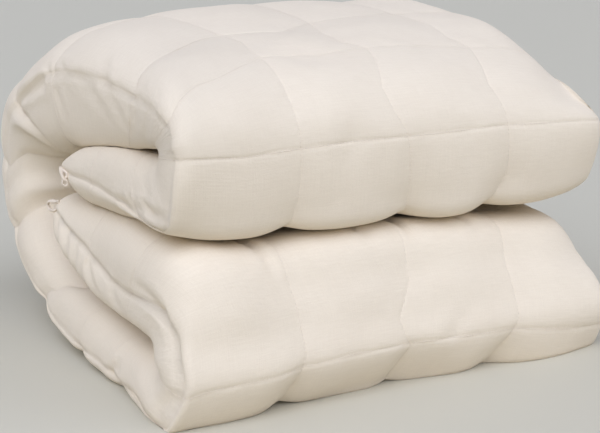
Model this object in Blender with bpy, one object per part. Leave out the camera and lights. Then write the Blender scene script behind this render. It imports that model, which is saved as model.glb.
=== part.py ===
"""Weighted blanket, folded for the shelf: 5 inch quilted squares, folded lengthwise to a strip four
squares wide, both ends of the strip folded in, then closed like a book.  Metres, +Z up, front at -Y."""
import bpy
import math

# ------------------------------------------------------------------ named sizes
SQUARE = 0.127            # pitch of the quilting squares (5 in)
ACROSS = 4                # squares across the folded strip
SQUARES_ALONG = 16        # squares along the strip, free end to free end (80 in)
UPPER_FRONT_SEAM = 3      # which cross seam lies on the front of the upper slab
LOWER_FRONT_SEAM = 13     # and on the front of the lower slab
DEPTH = 4.10              # front to back, in squares
PUFF_CROSS = 0.022        # how far the puffs stand above the channels across the strip, in squares
SLUMP_REACH = 0.70        # how far in from a side edge the top face sinks
CHANNEL_REACH = 0.115     # how far a channel pulls the puff down beside it
PILLOW = 0.020            # extra crown in the middle of a square
END_PINCH = 0.050         # how far the seam at a folded side edge is drawn in
END_SCALLOP = 0.030       # how far each cross seam draws the side edge in
LOOP_TAPE = 0.0012        # thickness of the cover loops' tape
LOOP_WIDTH = 0.008        # their width
LOOP_GAPE = 0.0034        # how far the fallen loop still stands open, either side of its middle

# One row for each section of the fold.  Each section is the line from the outer face of the strip to
# its inner face, (back, up) in squares from the front of the floor, where its channels lie; the puffs
# stand out from it by puff.  seam is where the side edges' seam sits between the faces (1 is on the
# outer face); round_out and round_in are how far the rounding at the side edges reaches in on either
# face; slump_l and slump_r are how far the outer face sinks towards the left and right side edges,
# and out_l and out_r how far those edges stand out.
COLUMNS = ("outer_y", "outer_z", "inner_y", "inner_z", "puff", "seam", "round_out", "round_in",
           "slump_l", "slump_r", "out_l", "out_r")
FOLD = [
    # name                  o_y     o_z     i_y     i_z    puff   seam  r_out   r_in   sl_l   sl_r  out_l out_r
    ("upper_free_edge",    2.280,  1.550,  2.280,  1.700,  0.020,  0.50,  0.20,  0.20,  0.00,  0.00,  0.00,  0.00),
    ("upper_hem",          2.080,  1.450,  2.080,  1.770,  0.040,  0.52,  0.24,  0.26,  0.00,  0.00,  0.00,  0.00),
    ("upper_fly_back",     1.620,  1.385,  1.600,  1.845,  0.050,  0.52,  0.28,  0.28,  0.00,  0.00,  0.00,  0.00),
    ("upper_fly_mid",      1.080,  1.355,  1.120,  1.885,  0.050,  0.56,  0.30,  0.26,  0.03,  0.00,  0.00,  0.00),
    ("upper_fly_front",    0.560,  1.330,  0.800,  1.910,  0.050,  0.60,  0.34,  0.26,  0.07,  0.00,  0.00,  0.00),
    ("upper_roll_under",   0.200,  1.340,  0.630,  1.920,  0.050,  0.68,  0.32,  0.26,  0.11,  0.03,  0.00,  0.00),
    ("upper_roll_low",     0.020,  1.620,  0.535,  1.935,  0.050,  0.84,  0.16,  0.26,  0.06,  0.02,  0.00,  0.00),
    ("upper_roll_front",  -0.010,  2.000,  0.500,  1.955,  0.050,  0.94,  0.10,  0.26,  0.00,  0.03,  0.00,  0.00),
    ("upper_roll_high",    0.070,  2.240,  0.520,  1.975,  0.050,  0.88,  0.16,  0.26,  0.00,  0.12,  0.00,  0.00),
    ("upper_roll_top",     0.300,  2.470,  0.620,  1.990,  0.050,  0.70,  0.30,  0.26,  0.05,  0.20,  0.00,  0.00),
    ("top_front",          0.680,  2.640,  0.860,  1.990,  0.050,  0.55,  0.44,  0.27,  0.10,  0.22,  0.00,  0.00),
    ("top_mid",            1.260,  2.785,  1.280,  1.960,  0.050,  0.46,  0.50,  0.28,  0.16,  0.14,  0.00,  0.00),
    ("top_back",           2.000,  2.885,  1.880,  1.910,  0.050,  0.42,  0.50,  0.28,  0.24,  0.08,  0.00,  0.00),
    ("bend_start",         2.680,  2.885,  2.420,  1.850,  0.050,  0.40,  0.50,  0.30,  0.30,  0.05,  0.00,  0.00),
    ("bend_high",          3.240,  2.690,  2.840,  1.760,  0.050,  0.42,  0.50,  0.34,  0.25,  0.08,  0.00,  0.00),
    ("bend_upper",         3.680,  2.380,  3.050,  1.620,  0.050,  0.52,  0.44,  0.38,  0.15,  0.06,  0.00,  0.00),
    ("bend_rear",          3.960,  1.960,  3.170,  1.460,  0.050,  0.58,  0.38,  0.40,  0.05,  0.04,  0.00,  0.00),
    ("bend_middle",        4.040,  1.500,  3.220,  1.320,  0.050,  0.60,  0.34,  0.42,  0.00,  0.00,  0.00,  0.00),
    ("bend_lower",         3.950,  1.020,  3.200,  1.160,  0.050,  0.60,  0.34,  0.42,  0.04,  0.00,  0.00,  0.00),
    ("bend_low",           3.660,  0.600,  3.040,  0.980,  0.050,  0.62,  0.34,  0.42,  0.09,  0.00,  0.02,  0.00),
    ("bend_end",           3.200,  0.280,  2.720,  0.800,  0.050,  0.64,  0.32,  0.42,  0.09,  0.00,  0.03,  0.00),
    ("floor_back",         2.620,  0.085,  2.320,  0.630,  0.050,  0.68,  0.26,  0.40,  0.03,  0.00,  0.03,  0.00),
    ("floor_mid_back",     2.000,  0.035,  1.840,  0.520,  0.050,  0.72,  0.22,  0.38,  0.00,  0.00,  0.03,  0.00),
    ("floor_mid",          1.400,  0.030,  1.360,  0.450,  0.050,  0.76,  0.18,  0.36,  0.00,  0.00,  0.02,  0.00),
    ("floor_front",        0.760,  0.030,  0.980,  0.405,  0.060,  0.84,  0.12,  0.36,  0.00,  0.00,  0.03,  0.02),
    ("lower_roll_under",   0.220,  0.035,  0.740,  0.405,  0.085,  0.94,  0.08,  0.36,  0.00,  0.00,  0.05,  0.05),
    ("lower_roll_low",     0.020,  0.120,  0.580,  0.415,  0.095,  0.96,  0.07,  0.34,  0.00,  0.00,  0.05,  0.09),
    ("lower_roll_front",   0.000,  0.350,  0.510,  0.440,  0.060,  0.95,  0.09,  0.34,  0.00,  0.00,  0.01,  0.09),
    ("lower_roll_mid",    -0.030,  0.620,  0.510,  0.460,  0.050,  0.95,  0.10,  0.34,  0.00,  0.02,  0.00,  0.07),
    ("lower_roll_high",    0.050,  0.880,  0.600,  0.490,  0.050,  0.84,  0.18,  0.36,  0.00,  0.15,  0.00,  0.04),
    ("lower_roll_top",     0.280,  1.050,  0.780,  0.520,  0.050,  0.60,  0.34,  0.38,  0.02,  0.18,  0.00,  0.02),
    ("lower_fly_front",    0.760,  1.115,  1.080,  0.560,  0.050,  0.50,  0.42,  0.40,  0.02,  0.16,  0.00,  0.00),
    ("lower_fly_mid",      1.260,  1.130,  1.440,  0.635,  0.050,  0.54,  0.44,  0.40,  0.00,  0.06,  0.00,  0.00),
    ("lower_fly_back",     1.760,  1.165,  1.840,  0.740,  0.050,  0.60,  0.42,  0.40,  0.00,  0.02,  0.00,  0.00),
    ("lower_hem",          2.180,  1.245,  2.220,  0.890,  0.040,  0.66,  0.34,  0.34,  0.00,  0.00,  0.00,  0.00),
    ("lower_free_edge",    2.460,  1.335,  2.500,  1.160,  0.020,  0.60,  0.22,  0.22,  0.00,  0.00,  0.00,  0.00),
]
UPPER_ROW = [r[0] for r in FOLD].index("upper_roll_front")
LOWER_ROW = [r[0] for r in FOLD].index("lower_roll_front")

# The rounded side edge: how far each point stands in from the edge (share of the rounding) and out
# from the edge seam (share of the half thickness).
EDGE = [(0.00, 0.30), (0.09, 0.52), (0.27, 0.75), (0.56, 0.92), (1.00, 1.00)]
# Where points stand across one square and along one square (0 and 1 are its seams).
STEPS_ACROSS = (0.0, 0.08, 0.28, 0.72, 0.92)
STEPS_ALONG = (0.0, 0.07, 0.22, 0.50, 0.78, 0.93)


def spline(t):
    """The fold's columns at t rows along, by a Catmull-Rom curve through the rows."""
    i = min(int(t), len(FOLD) - 2)
    f = t - i
    rows = [FOLD[min(max(i + k, 0), len(FOLD) - 1)][1:] for k in (-1, 0, 1, 2)]
    w = (-0.5 * f + f * f - 0.5 * f ** 3, 1 - 2.5 * f * f + 1.5 * f ** 3,
         0.5 * f + 2 * f * f - 1.5 * f ** 3, -0.5 * f * f + 0.5 * f ** 3)
    return dict(zip(COLUMNS, [sum(a * r[c] for a, r in zip(w, rows)) for c in range(len(COLUMNS))]))


def seam_rows():
    """Where each square boundary lies, as a place in FOLD: even lengths of the outer face between
    the two front seams, and of the middle of the strip in the two folded-in ends."""
    steps = 20
    ts = [k / steps for k in range((len(FOLD) - 1) * steps + 1)]
    pts = [spline(t) for t in ts]

    def stretch(t0, t1, n, inner):
        seg = [(t, q) for t, q in zip(ts, pts) if t0 <= t <= t1]
        cum = [0.0]
        for (_, a), (_, b) in zip(seg, seg[1:]):
            o = math.hypot(a["outer_y"] - b["outer_y"], a["outer_z"] - b["outer_z"])
            i = math.hypot(a["inner_y"] - b["inner_y"], a["inner_z"] - b["inner_z"])
            cum.append(cum[-1] + o * (1 - inner) + i * inner)
        out = []
        for k in range(n + 1):
            goal = cum[-1] * k / n
            j = max(1, next((m for m, c in enumerate(cum) if c >= goal), len(cum) - 1))
            f = (goal - cum[j - 1]) / max(cum[j] - cum[j - 1], 1e-9)
            out.append(seg[j - 1][0] + f * (seg[j][0] - seg[j - 1][0]))
        return out

    first = stretch(0, UPPER_ROW, UPPER_FRONT_SEAM, 0.5)
    middle = stretch(UPPER_ROW, LOWER_ROW, LOWER_FRONT_SEAM - UPPER_FRONT_SEAM, 0.0)
    last = stretch(LOWER_ROW, len(FOLD) - 1, SQUARES_ALONG - LOWER_FRONT_SEAM, 0.5)
    return first + middle[1:] + last[1:]


def channel(x):
    """1 on a seam, falling away beside it; x is the distance from a seam line in squares."""
    return math.exp(-(abs(x - round(x)) / CHANNEL_REACH) ** 1.15)


def pillow(u, v):
    return PILLOW * math.sin(math.pi * (u % 1.0)) ** 2 * math.sin(math.pi * (v % 1.0)) ** 2


def unevenness(u, v):
    """Slow rise and fall by hand, so that no two squares are filled quite alike."""
    return 0.010 * math.sin(1.9 * u + 0.8 * v) + 0.008 * math.sin(0.7 * u - 1.7 * v + 1.1)


def put(obj_name, verts, faces, colour, roughness):
    mesh = bpy.data.meshes.new(obj_name)
    mesh.from_pydata(verts, [], faces)
    mesh.validate()
    obj = bpy.data.objects.new(obj_name, mesh)
    group = bpy.data.collections.new(obj_name)
    bpy.context.scene.collection.children.link(group)
    group.objects.link(obj)
    mat = bpy.data.materials.new(obj_name + "_cloth")
    mat.use_nodes = True
    bsdf = mat.node_tree.nodes["Principled BSDF"]
    bsdf.inputs["Base Color"].default_value = colour
    bsdf.inputs["Roughness"].default_value = roughness
    mesh.materials.append(mat)
    for poly in mesh.polygons:
        poly.use_smooth = True
    return obj


def build_blanket():
    seams = seam_rows()
    places = []
    for k in range(SQUARES_ALONG):
        places += [k + s for s in STEPS_ALONG]
    places.append(float(SQUARES_ALONG))
    across = []
    for k in range(ACROSS):
        across += [k + s for s in STEPS_ACROSS]
    verts, rings = [], []
    for v in places:
        k = min(int(v), SQUARES_ALONG - 1)
        q = spline(seams[k] + (v - k) * (seams[k + 1] - seams[k]))
        oy, oz, iy, iz = q["outer_y"], q["outer_z"], q["inner_y"], q["inner_z"]
        my, mz = iy + (oy - iy) * q["seam"], iz + (oz - iz) * q["seam"]
        pinch = END_PINCH * (1 - q["seam"]) * 2 + END_SCALLOP * channel(v)
        hem = 0.45 if v in (0.0, float(SQUARES_ALONG)) else 1.0
        tight = min(abs(v - UPPER_FRONT_SEAM), abs(v - LOWER_FRONT_SEAM)) < 0.95

        def stretch_x(u):
            spread = q["out_r"] * max(0.0, u - 3.2) / 0.8 - q["out_l"] * max(0.0, 0.8 - u) / 0.8
            return (u + spread - ACROSS / 2) * SQUARE

        def face_point(u, share, side):
            """A point on one face: side +1 outer, -1 inner; share of the way out from the seam."""
            fy, fz = (oy, oz) if side > 0 else (iy, iz)
            reach = math.hypot(fy - my, fz - mz)
            puff = q["puff"] * (1 - channel(u)) + PUFF_CROSS * (1 - channel(v))
            puff += pillow(u, v) + unevenness(u, v)
            if side < 0:
                puff = 0.0 if tight else 0.35 * puff
            else:
                puff -= q["slump_l"] * math.exp(-u / SLUMP_REACH)
                puff -= q["slump_r"] * math.exp(-(ACROSS - u) / SLUMP_REACH)
            h = (reach + puff) * share * hem / reach
            y, z = my + (fy - my) * h, mz + (fz - mz) * h
            return (stretch_x(u), (y - DEPTH / 2) * SQUARE, max(z, 0.0) * SQUARE)

        def edge_points(left, side):
            out = []
            reach_in = q["round_out"] if side > 0 else q["round_in"]
            for inward, share in EDGE:
                u = inward * reach_in + END_SCALLOP * channel(v) * (1 - inward)
                out.append(face_point(u if left else ACROSS - u, share, side))
            return out

        inner_us = [u for u in across if u > 0.74 and u < ACROSS - 0.6]
        ring = [(stretch_x(pinch), (my - DEPTH / 2) * SQUARE, max(mz, 0.0) * SQUARE)]
        ring += edge_points(True, 1)
        ring += [face_point(u, 1.0, 1) for u in inner_us]
        ring += edge_points(False, 1)[::-1]
        ring += [(stretch_x(ACROSS - pinch), (my - DEPTH / 2) * SQUARE, max(mz, 0.0) * SQUARE)]
        ring += edge_points(False, -1)
        ring += [face_point(u, 1.0, -1) for u in inner_us[::-1]]
        ring += edge_points(True, -1)[::-1]
        rings.append(list(range(len(verts), len(verts) + len(ring))))
        verts += ring
    n = len(rings[0])
    faces = []
    for a, b in zip(rings, rings[1:]):
        faces += [(a[i], a[(i + 1) % n], b[(i + 1) % n], b[i]) for i in range(n)]
    half = n // 2
    for ring, flip in ((rings[0], False), (rings[-1], True)):
        for i in range(half):
            quad = [ring[i], ring[(n - i) % n], ring[(n - i - 1) % n], ring[i + 1]]
            quad = list(dict.fromkeys(quad))
            faces.append(tuple(quad[::-1] if flip else quad))
    return put("blanket", verts, faces, (0.80, 0.75, 0.68, 1.0), 0.95)


# Cover loops: narrow tape sewn to the corners of the two free edges, fallen shut as in the photo.
# Each is one row: where its sewn end is (squares), how long the loop is (m), which way it hangs (its
# lean, in turns from straight down towards the back) and how far it is twisted about that line.
LOOPS = [
    # name               root_x root_y root_z  length lean   twist
    ("cover_loop_upper", -0.021, 2.160, 1.60,  0.026, 0.01,  0.22),
    ("cover_loop_lower",  0.075, 2.487, 1.265, 0.022, 0.22,  0.04),
]


def build_loop(name, root_x, root_y, root_z, length, lean, twist):
    """A tape bent back on itself and fallen shut: pinched in the middle, puckered either side."""
    steps = 28
    path = []
    for i in range(steps):
        a = 2 * math.pi * i / steps
        along = 0.5 * length * (1 - math.cos(a))
        gape = LOOP_GAPE * math.sin(a) * (0.62 + 0.38 * math.cos(4 * math.pi * along / length))
        path.append((gape, -along))
    origin = ((root_x - ACROSS / 2) * SQUARE, (root_y - DEPTH / 2) * SQUARE, root_z * SQUARE)
    cl, sl = math.cos(2 * math.pi * lean), math.sin(2 * math.pi * lean)
    ct, st = math.cos(2 * math.pi * twist), math.sin(2 * math.pi * twist)
    verts = []
    for i, (g, d) in enumerate(path):
        (g0, d0), (g1, d1) = path[i - 1], path[(i + 1) % steps]
        run = math.hypot(g1 - g0, d1 - d0)
        ng, nd = (d1 - d0) / run, (g0 - g1) / run
        for side in (-1, 1):
            for edge in (-1, 1):
                across, gg = edge * LOOP_WIDTH / 2, g + side * ng * LOOP_TAPE / 2
                dd = d + side * nd * LOOP_TAPE / 2
                x, y = across * ct - gg * st, across * st + gg * ct
                verts.append((origin[0] + x, origin[1] + y * cl - dd * sl, origin[2] + y * sl + dd * cl))
    faces = []
    for i in range(steps):
        a, b = 4 * i, 4 * ((i + 1) % steps)
        faces += [(a + p, a + q, b + q, b + p) for p, q in ((0, 1), (1, 3), (3, 2), (2, 0))]
    return put(name, verts, faces, (0.80, 0.75, 0.68, 1.0), 0.95)


def centre_on_floor(objects, main):
    """Put the middle of the blanket's box on the origin, front to back and side to side."""
    xs = [v.co.x for v in main.data.vertices]
    ys = [v.co.y for v in main.data.vertices]
    mid_x, mid_y = (min(xs) + max(xs)) / 2, (min(ys) + max(ys)) / 2
    for obj in objects:
        for v in obj.data.vertices:
            v.co.x -= mid_x
            v.co.y -= mid_y


for old in list(bpy.data.objects):
    bpy.data.objects.remove(old, do_unlink=True)
blanket = build_blanket()
loops = [build_loop(*row) for row in LOOPS]
centre_on_floor([blanket] + loops, blanket)
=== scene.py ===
"""Folded weighted blanket: the looks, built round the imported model.  Metres, +Z up, front at -Y.

Sizes along and across the cloth are in quilting squares (v along the strip from the upper free edge to
the lower one, u across it from the left edge to the right one), as in the fold's own table below."""
import math

import bpy
import numpy as np
from mathutils import Matrix, Vector
from mathutils.bvhtree import BVHTree


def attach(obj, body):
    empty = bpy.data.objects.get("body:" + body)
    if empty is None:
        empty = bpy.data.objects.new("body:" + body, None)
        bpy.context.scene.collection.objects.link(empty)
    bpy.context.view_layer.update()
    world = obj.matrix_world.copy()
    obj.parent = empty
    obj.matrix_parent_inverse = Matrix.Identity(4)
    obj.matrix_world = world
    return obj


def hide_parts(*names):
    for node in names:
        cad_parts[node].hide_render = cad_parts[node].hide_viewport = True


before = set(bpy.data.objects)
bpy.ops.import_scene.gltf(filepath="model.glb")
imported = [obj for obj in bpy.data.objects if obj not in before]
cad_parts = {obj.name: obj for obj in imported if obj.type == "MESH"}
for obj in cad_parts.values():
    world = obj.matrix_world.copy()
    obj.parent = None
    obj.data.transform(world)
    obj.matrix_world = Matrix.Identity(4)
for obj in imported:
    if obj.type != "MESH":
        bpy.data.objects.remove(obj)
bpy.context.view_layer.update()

# ---------------------------------------------------------------- the blanket's fold
# The real piece is a thick weighted blanket, two faces of slubby cotton-linen cloth sewn together in
# 5 inch squares round a filling of batting and glass beads.  It is folded lengthwise to four squares,
# both ends are folded in, and it is closed like a book, so its side edges show the layers end on.
SQUARE = 0.127
ACROSS = 4
SQUARES_ALONG = 16
UPPER_FRONT_SEAM = 3
LOWER_FRONT_SEAM = 13
MIDDLE_X, MIDDLE_Y = 2.0, 2.05            # the footprint's middle, in squares
CENTRED = (-0.0023, 0.0053)               # and the last shift onto the CAD model's, in metres

# Each row is one section of the fold, the line from the cloth's outer face to its inner face, (back,
# up) in squares from the front of the floor.  seam is where the side edges' seam sits between them,
# round_* how far the rounding at a side edge reaches in, slump_* how far the outer face sinks towards
# the left and right edges, and out_* how far those edges stand out.
COLUMNS = ("outer_y", "outer_z", "inner_y", "inner_z", "puff", "seam", "round_out", "round_in",
           "slump_l", "slump_r", "out_l", "out_r")
FOLD = [
    # name                  o_y     o_z    i_y    i_z   puff  seam r_out  r_in   sl_l  sl_r out_l  out_r
    ("upper_free_edge",   2.225,  1.550, 2.225, 1.700, 0.020, 0.50, 0.26, 0.20,  0.03, 0.00, 0.00,  0.00),
    ("upper_hem",         2.050,  1.450, 2.050, 1.770, 0.040, 0.52, 0.34, 0.26,  0.08, 0.00, 0.00,  0.00),
    ("upper_fly_back",    1.620,  1.385, 1.600, 1.845, 0.050, 0.52, 0.40, 0.28,  0.12, 0.00, 0.00,  0.00),
    ("upper_fly_mid",     1.080,  1.355, 1.120, 1.885, 0.050, 0.62, 0.42, 0.26,  0.15, 0.00, 0.00,  0.00),
    ("upper_fly_front",   0.560,  1.335, 0.800, 1.910, 0.050, 0.76, 0.42, 0.26,  0.17, 0.00, 0.00,  0.00),
    ("upper_roll_under",  0.150,  1.385, 0.630, 1.920, 0.050, 0.86, 0.38, 0.26,  0.15, 0.10, 0.00,  0.00),
    ("upper_roll_low",    0.030,  1.620, 0.535, 1.935, 0.050, 0.94, 0.22, 0.26,  0.06, 0.07, 0.00,  0.00),
    ("upper_roll_front", -0.010,  2.000, 0.500, 1.955, 0.050, 0.94, 0.15, 0.26,  0.00, 0.03, 0.00,  0.00),
    ("upper_roll_high",   0.070,  2.240, 0.520, 1.975, 0.050, 0.88, 0.20, 0.26,  0.00, 0.16, 0.00, -0.15),
    ("upper_roll_top",    0.300,  2.460, 0.620, 1.990, 0.050, 0.70, 0.30, 0.26,  0.05, 0.22, 0.00, -0.13),
    ("top_front",         0.680,  2.610, 0.860, 1.990, 0.050, 0.60, 0.44, 0.27,  0.10, 0.11, 0.00, -0.09),
    ("top_mid",           1.260,  2.735, 1.280, 1.960, 0.050, 0.60, 0.50, 0.28,  0.16, 0.00, 0.00, -0.04),
    ("top_back",          2.000,  2.855, 1.880, 1.910, 0.050, 0.56, 0.50, 0.28,  0.27, 0.00, 0.00,  0.00),
    ("bend_start",        2.680,  2.895, 2.420, 1.850, 0.050, 0.50, 0.50, 0.30,  0.40, 0.00, 0.00,  0.00),
    ("bend_high",         3.240,  2.690, 2.840, 1.760, 0.050, 0.46, 0.50, 0.46,  0.36, 0.08, 0.00,  0.00),
    ("bend_upper",        3.680,  2.380, 3.050, 1.620, 0.050, 0.52, 0.44, 0.62,  0.22, 0.06, 0.00,  0.00),
    ("bend_rear",         3.960,  1.960, 3.170, 1.460, 0.050, 0.58, 0.38, 0.76, -0.01, 0.04, 0.00,  0.00),
    ("bend_middle",       4.040,  1.500, 3.220, 1.320, 0.050, 0.60, 0.34, 0.80, -0.06, 0.00, 0.00,  0.00),
    ("bend_lower",        3.950,  1.020, 3.200, 1.160, 0.050, 0.60, 0.34, 0.76,  0.03, 0.00, 0.00,  0.00),
    ("bend_low",          3.660,  0.600, 3.040, 0.980, 0.050, 0.62, 0.34, 0.62,  0.16, 0.00, 0.02,  0.00),
    ("bend_end",          3.200,  0.280, 2.720, 0.800, 0.050, 0.64, 0.32, 0.50,  0.22, 0.00, 0.03,  0.00),
    ("floor_back",        2.620,  0.085, 2.320, 0.630, 0.050, 0.68, 0.26, 0.40,  0.16, 0.00, 0.03,  0.00),
    ("floor_mid_back",    2.000,  0.035, 1.840, 0.520, 0.050, 0.72, 0.22, 0.38,  0.10, 0.00, 0.03,  0.00),
    ("floor_mid",         1.400,  0.030, 1.360, 0.450, 0.050, 0.76, 0.18, 0.36,  0.03, 0.00, 0.02,  0.00),
    ("floor_front",       0.760,  0.030, 0.980, 0.405, 0.060, 0.84, 0.12, 0.36,  0.00, 0.00, 0.03,  0.02),
    ("lower_roll_under",  0.260, -0.020, 0.740, 0.405, 0.040, 0.94, 0.08, 0.36,  0.00, 0.00, 0.05,  0.05),
    ("lower_roll_low",    0.075,  0.060, 0.580, 0.415, 0.020, 0.96, 0.07, 0.34,  0.00, 0.00, 0.05,  0.09),
    ("lower_roll_front", -0.075,  0.365, 0.510, 0.440, 0.055, 0.95, 0.09, 0.34,  0.00, 0.00, 0.01,  0.06),
    ("lower_roll_mid",   -0.025,  0.620, 0.510, 0.460, 0.050, 0.95, 0.10, 0.34,  0.00, 0.02, 0.00,  0.01),
    ("lower_roll_high",   0.050,  0.880, 0.600, 0.490, 0.050, 0.84, 0.18, 0.36,  0.00, 0.17, 0.00, -0.05),
    ("lower_roll_top",    0.270,  1.140, 0.780, 0.520, 0.050, 0.60, 0.34, 0.38,  0.02, 0.16, 0.00, -0.04),
    ("lower_fly_front",   0.760,  1.185, 1.080, 0.560, 0.050, 0.50, 0.42, 0.40,  0.02, 0.05, 0.00,  0.00),
    ("lower_fly_mid",     1.260,  1.195, 1.440, 0.635, 0.050, 0.54, 0.44, 0.40,  0.00, 0.06, 0.00,  0.00),
    ("lower_fly_back",    1.760,  1.225, 1.840, 0.740, 0.050, 0.68, 0.42, 0.40,  0.00, 0.02, 0.00,  0.00),
    ("lower_hem",         2.150,  1.290, 2.180, 0.890, 0.040, 0.66, 0.34, 0.34,  0.00, 0.00, 0.00,  0.00),
    ("lower_free_edge",   2.400,  1.360, 2.440, 1.090, 0.020, 0.60, 0.22, 0.22,  0.00, 0.00, 0.00,  0.00),
]
ROW = {row[0]: k for k, row in enumerate(FOLD)}
FOLD_NUMBERS = np.array([row[1:] for row in FOLD])


def through(rows, t):
    """A Catmull-Rom curve through the rows of an array, at the places t."""
    t = np.asarray(t, float)
    i = np.minimum(t.astype(int), len(rows) - 2)
    f = (t - i)[:, None]
    a, b, c, d = (rows[np.clip(i + k, 0, len(rows) - 1)] for k in (-1, 0, 1, 2))
    return ((-0.5 * f + f * f - 0.5 * f ** 3) * a + (1 - 2.5 * f * f + 1.5 * f ** 3) * b
            + (0.5 * f + 2 * f * f - 1.5 * f ** 3) * c + (-0.5 * f * f + 0.5 * f ** 3) * d)


def seam_rows():
    """Where each cross seam lies in the fold: even lengths of the outer face between the two front
    seams, and of the middle of the strip in the two folded-in ends."""
    t = np.linspace(0, len(FOLD) - 1, (len(FOLD) - 1) * 20 + 1)
    q = through(FOLD_NUMBERS, t)
    seams_at = []
    for t0, t1, squares, inner in (
            (0, ROW["upper_roll_front"], UPPER_FRONT_SEAM, 0.5),
            (ROW["upper_roll_front"], ROW["lower_roll_front"], LOWER_FRONT_SEAM - UPPER_FRONT_SEAM, 0.0),
            (ROW["lower_roll_front"], len(FOLD) - 1, SQUARES_ALONG - LOWER_FRONT_SEAM, 0.5)):
        part = (t >= t0 - 1e-9) & (t <= t1 + 1e-9)
        step = np.diff(q[part], axis=0)
        lengths = np.hypot(step[:, 0], step[:, 1]) * (1 - inner) + np.hypot(step[:, 2], step[:, 3]) * inner
        so_far = np.concatenate([[0.0], np.cumsum(lengths)])
        even = so_far[-1] * np.arange(squares + 1) / squares
        seams_at += list(np.interp(even, so_far, t[part]))[bool(seams_at):]
    return np.array(seams_at)


# The lengthwise seams' run: how deep each of the three is drawn in and how far it strays to the right
# (in squares), at places v along the strip.
LENGTHWISE = np.array([
    # v      deep1  deep2  deep3  side1  side2  side3
    (0.00,   0.020, 0.020, 0.020,  0.00,  0.00,  0.00),
    (1.00,   0.030, 0.030, 0.030,  0.00,  0.00,  0.00),
    (2.00,   0.040, 0.040, 0.040,  0.00,  0.00,  0.00),
    (2.40,   0.052, 0.060, 0.060, -0.04,  0.03, -0.14),
    (2.70,   0.022, 0.024, 0.026, -0.01, -0.01, -0.04),
    (3.00,   0.008, 0.008, 0.009, -0.02, -0.08, -0.09),
    (3.25,   0.009, 0.008, 0.009, -0.03, -0.17, -0.10),
    (3.50,   0.012, 0.010, 0.011, -0.03, -0.20, -0.12),
    (3.80,   0.013, 0.012, 0.012,  0.00, -0.07, -0.03),
    (4.00,   0.012, 0.012, 0.012,  0.03,  0.00,  0.05),
    (4.20,   0.014, 0.014, 0.013,  0.03, -0.15, -0.03),
    (4.60,   0.015, 0.016, 0.014,  0.09, -0.15,  0.06),
    (5.00,   0.014, 0.014, 0.014,  0.05, -0.05,  0.03),
    (6.00,   0.016, 0.016, 0.016,  0.00,  0.03, -0.02),
    (8.00,   0.022, 0.022, 0.022, -0.03,  0.02,  0.03),
    (10.00,  0.032, 0.032, 0.032,  0.02, -0.02,  0.00),
    (12.00,  0.050, 0.050, 0.050, -0.06, -0.06, -0.12),
    (12.50,  0.070, 0.065, 0.080, -0.10, -0.10, -0.12),
    (12.80,  0.068, 0.062, 0.064, -0.08, -0.08, -0.08),
    (12.97,  0.034, 0.034, 0.030, -0.05, -0.04, -0.02),
    (13.08,  0.016, 0.018, 0.014, -0.02, -0.10,  0.03),
    (13.22,  0.010, 0.013, 0.010, -0.03, -0.14,  0.03),
    (13.50,  0.010, 0.013, 0.011, -0.06,  0.00,  0.01),
    (13.75,  0.014, 0.013, 0.013, -0.11,  0.00,  0.04),
    (14.50,  0.018, 0.018, 0.018,  0.00,  0.00,  0.00),
    (16.00,  0.020, 0.020, 0.020,  0.00,  0.00,  0.00),
])

# The cross seams' run, from the upper free edge to the lower one: how deep each is drawn in on the outer
# and on the inner face, and how far it strays along the strip at places u across it.
STRAY_PLACES = (0.0, 0.1, 0.3, 0.5, 0.75, 1.0, 1.5, 2.0, 3.0, 4.0)
STRAIGHT = (0.00,) * len(STRAY_PLACES)
CROSSWISE = [
    # outer inner   stray
    (0.000, 0.000, STRAIGHT),
    (0.020, 0.008, STRAIGHT),
    (0.020, 0.008, (0.04, 0.03, 0.00, -0.02, -0.02, 0.00, 0.02, 0.02, 0.00, 0.00)),
    (0.006, 0.008, (0.00, 0.00, -0.01, -0.02, -0.01, 0.00, 0.02, 0.02, 0.04, 0.01)),
    (0.007, 0.008, (-0.66, -0.52, -0.37, -0.30, -0.17, -0.06, -0.11, -0.05, -0.06, -0.05)),
    (0.008, 0.010, (-1.06, -0.96, -0.80, -0.65, -0.46, -0.36, -0.50, -0.28, -0.05, 0.00)),
    (0.016, 0.006, (-0.28, -0.26, -0.22, -0.20, -0.18, -0.12, -0.14, -0.08, 0.00, 0.00)),
    (0.022, 0.060, (-0.05, -0.04, -0.03, 0.00, 0.02, 0.02, -0.02, 0.03, 0.00, -0.02)),
    (0.034, 0.016, (0.00, 0.00, 0.00, -0.02, 0.00, 0.03, 0.02, -0.02, 0.02, 0.00)),
    (0.036, 0.060, (-0.20, -0.16, -0.08, -0.02, 0.00, 0.00, 0.02, 0.00, -0.03, 0.02)),
    (0.038, 0.040, (-0.14, -0.12, -0.08, -0.05, -0.02, 0.00, 0.00, 0.02, 0.00, 0.00)),
    (0.036, 0.010, (-0.15, -0.12, -0.08, -0.04, 0.00, 0.00, 0.00, 0.00, 0.02, 0.00)),
    (0.040, 0.010, (-0.40, -0.34, -0.22, -0.12, -0.05, 0.00, 0.00, 0.00, 0.00, 0.00)),
    (0.012, 0.010, (-0.07, -0.04, -0.01, 0.00, 0.01, 0.03, 0.05, 0.04, 0.00, -0.13)),
    (0.014, 0.010, (0.00, 0.00, 0.02, 0.02, 0.00, 0.00, -0.02, 0.00, 0.02, 0.00)),
    (0.014, 0.010, STRAIGHT),
    (0.000, 0.000, STRAIGHT),
]

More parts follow.
